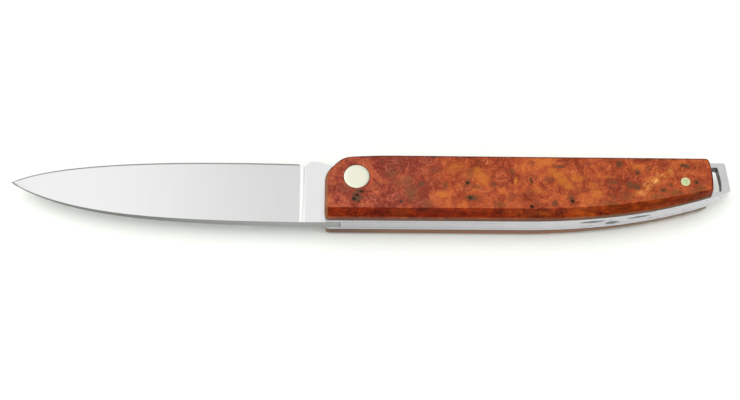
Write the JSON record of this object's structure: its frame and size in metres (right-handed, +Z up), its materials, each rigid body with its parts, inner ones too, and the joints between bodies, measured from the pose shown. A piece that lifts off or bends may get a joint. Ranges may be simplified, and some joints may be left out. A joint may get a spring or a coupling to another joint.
{
  "type": "folding pocket knife",
  "caption": "Slim slip-joint pocket knife, open: flat ground drop point blade, burl wood scales over steel liners, back spring that ends in a lanyard loop.",
  "frame": {"origin": "on the pivot's axis, on the face that the open knife lies on", "axes": "+X from the pivot to the butt, so the open blade points along -X; +Y towards the cutting edge of the open blade; +Z up through the thickness of the handle"},
  "size_m": [0.1948, 0.0189, 0.013],
  "materials": {
    "blade_steel": "satin, ground across the blade",
    "spring_steel": "polished",
    "liner_steel": "polished edge",
    "burl_wood": "polished burl with dark eyes",
    "bushing_bronze": "turned",
    "pin_steel": "drawn rod",
    "nickel_silver": "pale, polished flush with the wood"
  },
  "bodies": {
    "handle": {"lower_scale": "burl_wood", "lower_liner": "liner_steel", "back_spring": "spring_steel", "upper_liner": "liner_steel", "upper_scale": "burl_wood", "pivot_bushing": "bushing_bronze", "pivot_pin": "pin_steel", "lower_rosette": "nickel_silver", "upper_rosette": "nickel_silver", "centre_pin": "pin_steel", "rear_pin": "nickel_silver"},
    "spring_arm": {"back_spring_arm": "spring_steel"},
    "blade": {"blade": "blade_steel"}
  },
  "joints": [
    {"name": "blade_pivot", "type": "hinge", "parent": "handle", "child": "blade", "pos_m": [0, 0, 0.0065], "axis": [0, 0, -1], "range_deg": [0, 177]},
    {"name": "spring_flex", "type": "hinge", "parent": "handle", "child": "spring_arm", "pos_m": [0.0403, -0.01157, 0.0065], "axis": [0, 0, 1], "range_deg": [0, 1.2], "stiffness_Nm_per_rad": 2}
  ]
}
